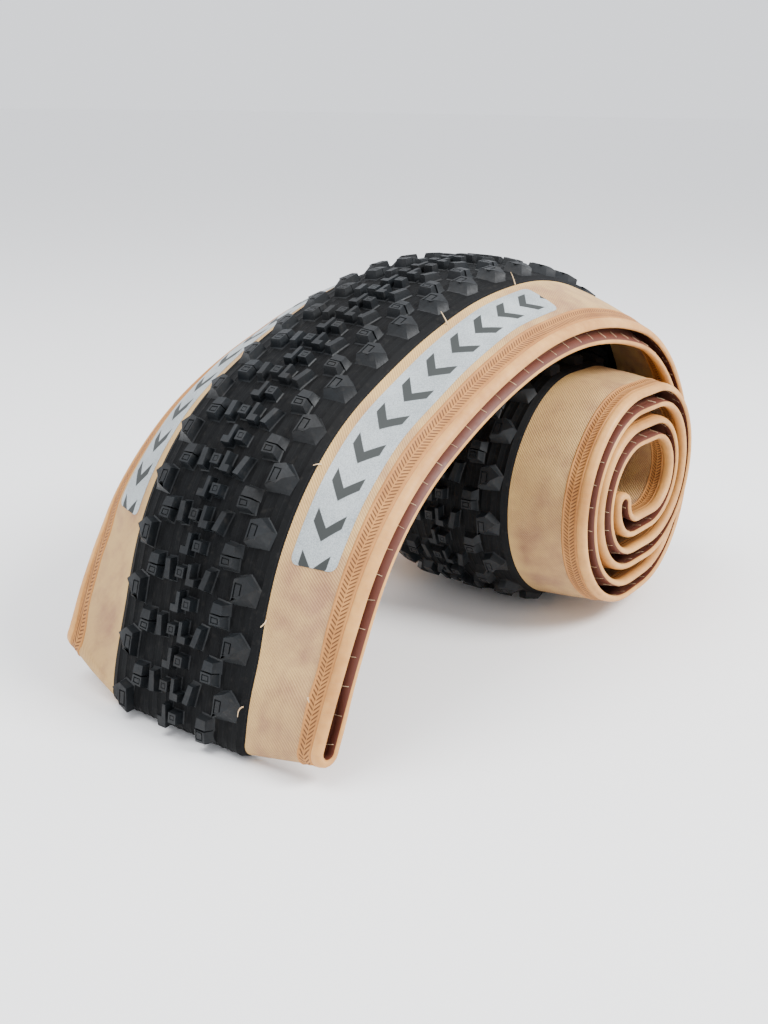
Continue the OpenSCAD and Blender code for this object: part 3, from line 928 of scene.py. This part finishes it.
def rows_tree():
    """Lays copies of a flat block in a straight row along X, one for each tread row."""
    tree = bpy.data.node_groups.new("block row", "GeometryNodeTree")
    face = tree.interface
    face.new_socket(name="Geometry", in_out="INPUT", socket_type="NodeSocketGeometry")
    ids = {}
    for label, kind in (("Block", "NodeSocketObject"), ("Rows", "NodeSocketInt"),
                        ("Row pitch", FLOAT), ("First row", FLOAT), ("Off centre", FLOAT),
                        ("Size wander", FLOAT), ("Seed", "NodeSocketInt"),
                        ("Finish", "NodeSocketMaterial")):
        ids[label] = face.new_socket(name=label, in_out="INPUT", socket_type=kind).identifier
    face.new_socket(name="Geometry", in_out="OUTPUT", socket_type="NodeSocketGeometry")
    gin = node(tree, "NodeGroupInput")
    gout = node(tree, "NodeGroupOutput")
    line = node(tree, "GeometryNodeMeshLine", mode="OFFSET")
    start = node(tree, "ShaderNodeCombineXYZ")
    offset = node(tree, "ShaderNodeCombineXYZ")
    feed(tree, gin.outputs["Rows"], line.inputs["Count"])
    feed(tree, gin.outputs["First row"], start.inputs[0])
    feed(tree, gin.outputs["Off centre"], start.inputs[1])
    feed(tree, gin.outputs["Row pitch"], offset.inputs[0])
    feed(tree, start.outputs[0], line.inputs["Start Location"])
    feed(tree, offset.outputs[0], line.inputs["Offset"])
    source = node(tree, "GeometryNodeObjectInfo")
    feed(tree, gin.outputs["Block"], source.inputs["Object"])
    wander = node(tree, "FunctionNodeRandomValue", data_type="FLOAT")
    feed(tree, math_node(tree, "SUBTRACT", 1.0, gin.outputs["Size wander"]), wander.inputs[2])
    wander.inputs[3].default_value = 1.0
    feed(tree, gin.outputs["Seed"], wander.inputs["Seed"])
    size = node(tree, "ShaderNodeCombineXYZ")
    size.inputs[1].default_value = 1.0
    size.inputs[2].default_value = 1.0
    feed(tree, wander.outputs[1], size.inputs[0])
    copies = node(tree, "GeometryNodeInstanceOnPoints")
    feed(tree, line.outputs[0], copies.inputs["Points"])
    feed(tree, source.outputs["Geometry"], copies.inputs["Instance"])
    feed(tree, size.outputs[0], copies.inputs["Scale"])
    real = node(tree, "GeometryNodeRealizeInstances")
    coat = node(tree, "GeometryNodeSetMaterial")
    feed(tree, copies.outputs[0], real.inputs[0])
    feed(tree, real.outputs[0], coat.inputs["Geometry"])
    feed(tree, gin.outputs["Finish"], coat.inputs["Material"])
    feed(tree, coat.outputs[0], gout.inputs[0])
    return tree, ids


ROWS_TREE, ROWS_IDS = rows_tree()


def lay_rows(block, rows, first, off_centre, finish, seed, wander=0.04, pitch=None):
    """The points and faces of a flat row of blocks, worked out by the tree."""
    base = bpy.data.objects.new("row", bpy.data.meshes.new("row"))
    bpy.context.scene.collection.objects.link(base)
    mod = base.modifiers.new("rows", "NODES")
    mod.node_group = ROWS_TREE
    values = {"Block": block, "Rows": rows, "Row pitch": pitch or ROW_PITCH, "First row": first,
              "Off centre": off_centre, "Size wander": wander, "Seed": seed, "Finish": finish}
    for label, value in values.items():
        mod[ROWS_IDS[label]] = value
    base.update_tag()
    bpy.context.view_layer.update()
    graph = bpy.context.evaluated_depsgraph_get()
    mesh = bpy.data.meshes.new_from_object(base.evaluated_get(graph))
    points = np.zeros(len(mesh.vertices) * 3)
    mesh.vertices.foreach_get("co", points)
    faces = [tuple(p.vertices) for p in mesh.polygons]
    bpy.data.meshes.remove(mesh)
    bpy.data.objects.remove(base)
    return points.reshape(rows, -1, 3), np.array_split(np.array(faces, dtype=object), rows)


def wrap_rows(name, parts, finish):
    """Wraps flat rows on to the folded band: x runs along the tread, y across, z up from it.

    Blocks under the free fold that would reach below the floor are left out, and the corners of
    the blocks beside the standing row are pressed flat.
    """
    points = []
    flat_points = []
    faces = []
    count = 0
    for blocks, block_faces in parts:
        for block, sides_of in zip(blocks, block_faces):
            place = on_band(q_of(block[:, 0]), block[:, 1], BASE_T + block[:, 2])
            if place[:, 2].min() < 0 and place[:, 0].mean() < 0:
                continue
            place[:, 2] = np.maximum(place[:, 2], 0.0)
            first = min(min(f) for f in sides_of)
            faces += [tuple(i - first + count for i in f) for f in sides_of]
            points.append(place)
            flat_points.append(block)
            count += len(block)
    flat = np.concatenate(flat_points)
    uvs = [tuple((flat[i, 0] * UV_MM, flat[i, 1] * UV_MM) for i in f) for f in faces]
    return make_piece(name, np.concatenate(points), faces, uvs, finish, 28.0)


def box(length, width):
    return [(-length / 2, -width / 2), (length / 2, -width / 2), (length / 2, width / 2),
            (-length / 2, width / 2)]


SHOULDER_W = 12.0
INTER_W = 8.0
CUBE_W = 5.0
BRACKET_L = 9.0
SHOULDER_V = TREAD_HALF - 1.5 - SHOULDER_W / 2
INTER_V = SHOULDER_V - SHOULDER_W / 2 - INTER_W / 2
CENTRE_V = 0.5 + CUBE_W / 2
SLIM_V = (INTER_V - INTER_W / 2 + CUBE_W + 0.5) / 2


def bracket_outline(side):
    arm = BRACKET_L * 0.4
    low = -side * CUBE_W / 2
    outline = [(-BRACKET_L / 2, low), (BRACKET_L / 2, low), (BRACKET_L / 2, -low),
               (BRACKET_L / 2 - arm, -low), (BRACKET_L / 2 - arm, 0.0), (-BRACKET_L / 2, 0.0)]
    return outline if side > 0 else outline[::-1]


def shoulder_block(side):
    """Flat panel with a square groove, and a ridge that runs out from it to a side point."""
    base = [(-4.9, -5.4), (-6.6, -0.4), (-1.8, 4.9), (4.9, 3.8), (5.9, -5.4)]
    top = [(-3.9, -5.0), (-5.5, -0.8), (-2.0, 4.2), (0.8, 0.4), (4.7, -5.0)]
    panel = [(-2.8, -4.4), (-2.8, -1.1), (0.1, -1.1), (3.0, -1.1), (3.0, -4.4)]
    rings = walls(sided(base, side), sided(top, side), [0.0, 0.1, 0.9, 0.0, 0.0])
    return block_shape(f"shoulder_{side}", rings + engraving(sided(panel, side)))


def intermediate_block(side):
    """Two joined lugs with a slit between them; the trailing one has a square groove."""
    lead = [(-5.4, -3.4), (-5.0, 3.2), (-0.2, 3.6), (-0.2, -3.6)]
    lead_top = [(-4.2, -2.8), (-4.0, 1.8), (-0.3, 2.2), (-0.3, -3.0)]
    trail = [(0.2, -3.8), (0.2, 3.2), (5.2, 3.8), (5.6, -3.4)]
    trail_top = [(0.3, -3.2), (0.3, 1.8), (3.9, 2.4), (4.3, -2.9)]
    panel = [(1.0, -2.5), (1.0, 1.0), (3.4, 1.4), (3.6, -2.3)]
    return block_shape(f"intermediate_{side}",
                       walls(sided(lead, side), sided(lead_top, side), [0.5, 0.5, 0.1, 0.1]),
                       walls(sided(trail, side), sided(trail_top, side)) + engraving(
                           sided(panel, side), 0.45, 0.35))


def slim_block(side):
    """Slanted bar with a lower leading end."""
    base = [(-5.0, -1.0), (-4.6, 3.0), (5.0, 1.2), (4.6, -2.8)]
    top = [(-3.9, -0.5), (-3.7, 2.0), (4.1, 0.5), (3.8, -2.2)]
    return block_shape(f"slim_{side}", walls(sided(base, side), sided(top, side),
                                             [0.7, 0.7, 0.0, 0.0]))


def cube_block():
    top = shrink(box(CUBE_W, CUBE_W), 0.45)
    return block_shape("cube", walls(box(CUBE_W, CUBE_W), top) + engraving(
        shrink(box(CUBE_W, CUBE_W), 1.3), 0.3, 0.25))


def bracket_block(side):
    outline = bracket_outline(side)
    return block_shape(f"bracket_{side}", walls(outline, shrink(outline, 0.4)))


def make_blocks():
    after_stand = STAND_A + ROW_PITCH
    half_way = STAND_A + 0.5 * ROW_PITCH
    cube = cube_block()
    brackets = {side: bracket_block(side) for _, side in SIDES}
    slims = {side: slim_block(side) for _, side in SIDES}
    inters = {side: intermediate_block(side) for _, side in SIDES}
    shoulders = {side: shoulder_block(side) for _, side in SIDES}
    for label, side in SIDES:
        in_line, between = (half_way, STAND_A) if side > 0 else (STAND_A, half_way)
        families = (("shoulder", shoulders, ROW_TOTAL, in_line, SHOULDER_V, 11),
                    ("intermediate", inters, ROW_TOTAL, between, INTER_V, 21),
                    ("slim", slims, ROW_TOTAL - 1, after_stand, SLIM_V, 31))
        for family, blocks, rows, first, off_centre, seed in families:
            row = lay_rows(blocks[side], rows, first, side * off_centre, TREAD, seed + side)
            finish_piece(wrap_rows(f"{family}_row_{label}", [row], TREAD), "tread_rubber",
                         *(f"{family}_blocks_{label}_{layer}" for layer in ("outer", "inner")))
    cubes = [lay_rows(cube, ROW_TOTAL, half_way, -CENTRE_V, TREAD, 41),
             lay_rows(cube, ROW_TOTAL - 1, after_stand, CENTRE_V, TREAD, 42)]
    finish_piece(wrap_rows("centre_cube_rows", cubes, TREAD), "tread_rubber", "centre_cubes_outer",
                 "centre_cubes_inner")
    els = [lay_rows(brackets[-1], ROW_TOTAL - 1, after_stand, -CENTRE_V, TREAD, 51),
           lay_rows(brackets[1], ROW_TOTAL, half_way, CENTRE_V, TREAD, 52)]
    finish_piece(wrap_rows("centre_bracket_rows", els, TREAD), "tread_rubber",
                 "centre_brackets_outer", "centre_brackets_inner")
    stand = [lay_rows(brackets[-1], 1, STAND_A, -CENTRE_V, TREAD, 61, 0.0),
             lay_rows(cube, 1, STAND_A, CENTRE_V, TREAD, 62, 0.0)]
    stand += [lay_rows(slims[side], 1, STAND_A, side * SLIM_V, TREAD, 63, 0.0) for _, side in SIDES]
    finish_piece(wrap_rows("standing_row", stand, TREAD), "tread_rubber", "standing_blocks")
    protos = [cube, *brackets.values(), *slims.values(), *inters.values(), *shoulders.values()]
    for proto in protos:
        bpy.data.objects.remove(proto)


make_blocks()


# ---------------------------------------------------------------- threads and vent hairs
THREAD_PITCH = 12.0
THREAD_W = 0.28


def make_threads():
    """Short threads of the chafer's selvage, laid across the inside face by each bead."""
    strand = box(THREAD_W, 4.0)
    thread = block_shape("thread", [at_height(strand, -0.15), at_height(strand, 0.12),
                                    at_height(shrink(strand, 0.12), 0.25)])
    count = int(LOOP_LEN / THREAD_PITCH)
    for label, side in SIDES:
        blocks, block_faces = lay_rows(thread, count, 3.0, side * (V_LIP + 0.6), THREAD, 71 + side, 0.3,
                                       LOOP_LEN / count)
        points = blocks.reshape(-1, 3)
        faces = [tuple(f) for part in block_faces for f in part]
        wave = np.sin(points[:, 0] * 0.9) * 0.5 + np.sin(points[:, 0] * 0.37) * 0.4
        lean = (np.abs(points[:, 1]) - V_LIP) * 0.16 * np.sin(points[:, 0] * 0.23)
        q = q_of(points[:, 0] + lean)
        under = 0.62 * ease((np.abs(points[:, 1]) - V_LIP + 0.8) / 1.5)
        place = on_band(q, points[:, 1] + 0.3 * wave * side, -points[:, 2] - under)
        uvs = [tuple((points[i, 0] * UV_MM, points[i, 1] * UV_MM) for i in f) for f in faces]
        finish_piece(make_piece(f"selvage_threads_{label}", place, faces, uvs, THREAD, 60.0),
                     "aramid")
    bpy.data.objects.remove(thread)


make_threads()

HAIRS = [(48.0, -36.8, 7.0), (112.0, -36.6, 5.0), (205.0, -36.9, 8.0), (262.0, -36.7, 9.0),
         (14.0, -36.6, 8.0), (20.0, -66.0, 10.0)]
HAIR_R = 0.38
HAIR_RINGS = 8
HAIR_SIDES = 6


def make_hairs():
    """Thin rubber whiskers left by the mould's vents, measured back from the free fold."""
    points = []
    faces = []
    for number, (back, v, length) in enumerate(HAIRS):
        q0 = float(q_of(a_of(BAND_LEN) - back))
        foot = on_band(q0, v, PLY_T)
        up = on_band(q0, v, PLY_T + 1.0) - foot
        along = on_band(q0 + 1.0, v, PLY_T) - foot
        along /= np.linalg.norm(along)
        across = np.cross(up, along)
        lean = 0.5 + 0.4 * math.sin(number * 2.3)
        start = len(points)
        for k in range(HAIR_RINGS):
            t = k / (HAIR_RINGS - 1)
            middle = foot + up * (length * (t - 0.25 * t * t))
            middle += along * (length * lean * t * t * 0.6)
            middle += across * (length * 0.25 * math.sin(2.2 * t + number))
            r = HAIR_R * (1 - 0.55 * t)
            for j in range(HAIR_SIDES):
                a = 2 * math.pi * j / HAIR_SIDES
                points.append(middle + (along * math.cos(a) + across * math.sin(a)) * r)
        for k in range(HAIR_RINGS - 1):
            for j in range(HAIR_SIDES):
                i = (j + 1) % HAIR_SIDES
                a, b = start + k * HAIR_SIDES, start + (k + 1) * HAIR_SIDES
                faces.append((a + j, a + i, b + i, b + j))
        tip = start + (HAIR_RINGS - 1) * HAIR_SIDES
        faces.append(tuple(start + j for j in reversed(range(HAIR_SIDES))))
        faces.append(tuple(tip + j for j in range(HAIR_SIDES)))
    points = np.array(points)
    uvs = [tuple((0.01 * i, 0.0) for i in range(len(f))) for f in faces]
    piece = make_piece("vent_hairs", points, faces, uvs, THREAD, 60.0)
    finish_piece(piece, "tan_skin")


make_hairs()


# ---------------------------------------------------------------- floor and light
FLOOR_HALF = 40.0
LIGHT_AIM = (0.0, 0.0, 0.08)


def make_floor():
    mat, _, surface = new_finish("floor", 0.9, specular=0.1)
    surface.inputs["Base Color"].default_value = (0.96, 0.96, 0.955, 1)
    mesh = bpy.data.meshes.new("floor")
    w = FLOOR_HALF
    mesh.from_pydata([(-w, -w, 0), (w, -w, 0), (w, w, 0), (-w, w, 0)], [], [(0, 1, 2, 3)])
    mesh.materials.append(mat)
    floor = bpy.data.objects.new("floor", mesh)
    bpy.context.scene.collection.objects.link(floor)


def area_light(name, place, aim, size, power):
    data = bpy.data.lights.new(name, "AREA")
    data.shape = "DISK"
    data.size = size
    data.energy = power
    light = bpy.data.objects.new(name, data)
    back = np.array(place, float) - np.array(aim, float)
    back /= np.linalg.norm(back)
    right = np.cross([0.0, 0.0, 1.0], back)
    right /= np.linalg.norm(right)
    up = np.cross(back, right)
    turn = np.eye(4)
    turn[:3, 0] = right
    turn[:3, 1] = up
    turn[:3, 2] = back
    turn[:3, 3] = place
    light.matrix_world = mathutils.Matrix(turn.tolist())
    bpy.context.scene.collection.objects.link(light)


def make_light():
    world = bpy.data.worlds.new("soft room")
    world.use_nodes = True
    sky = world.node_tree.nodes["Background"]
    sky.inputs["Color"].default_value = (0.93, 0.95, 1.0, 1)
    sky.inputs["Strength"].default_value = 1.45
    bpy.context.scene.world = world
    area_light("window", (0.25, -1.0, 1.0), LIGHT_AIM, 0.6, 30.0)
    area_light("overhead", (-0.5, 0.3, 1.3), LIGHT_AIM, 0.9, 14.0)


make_floor()
make_light()
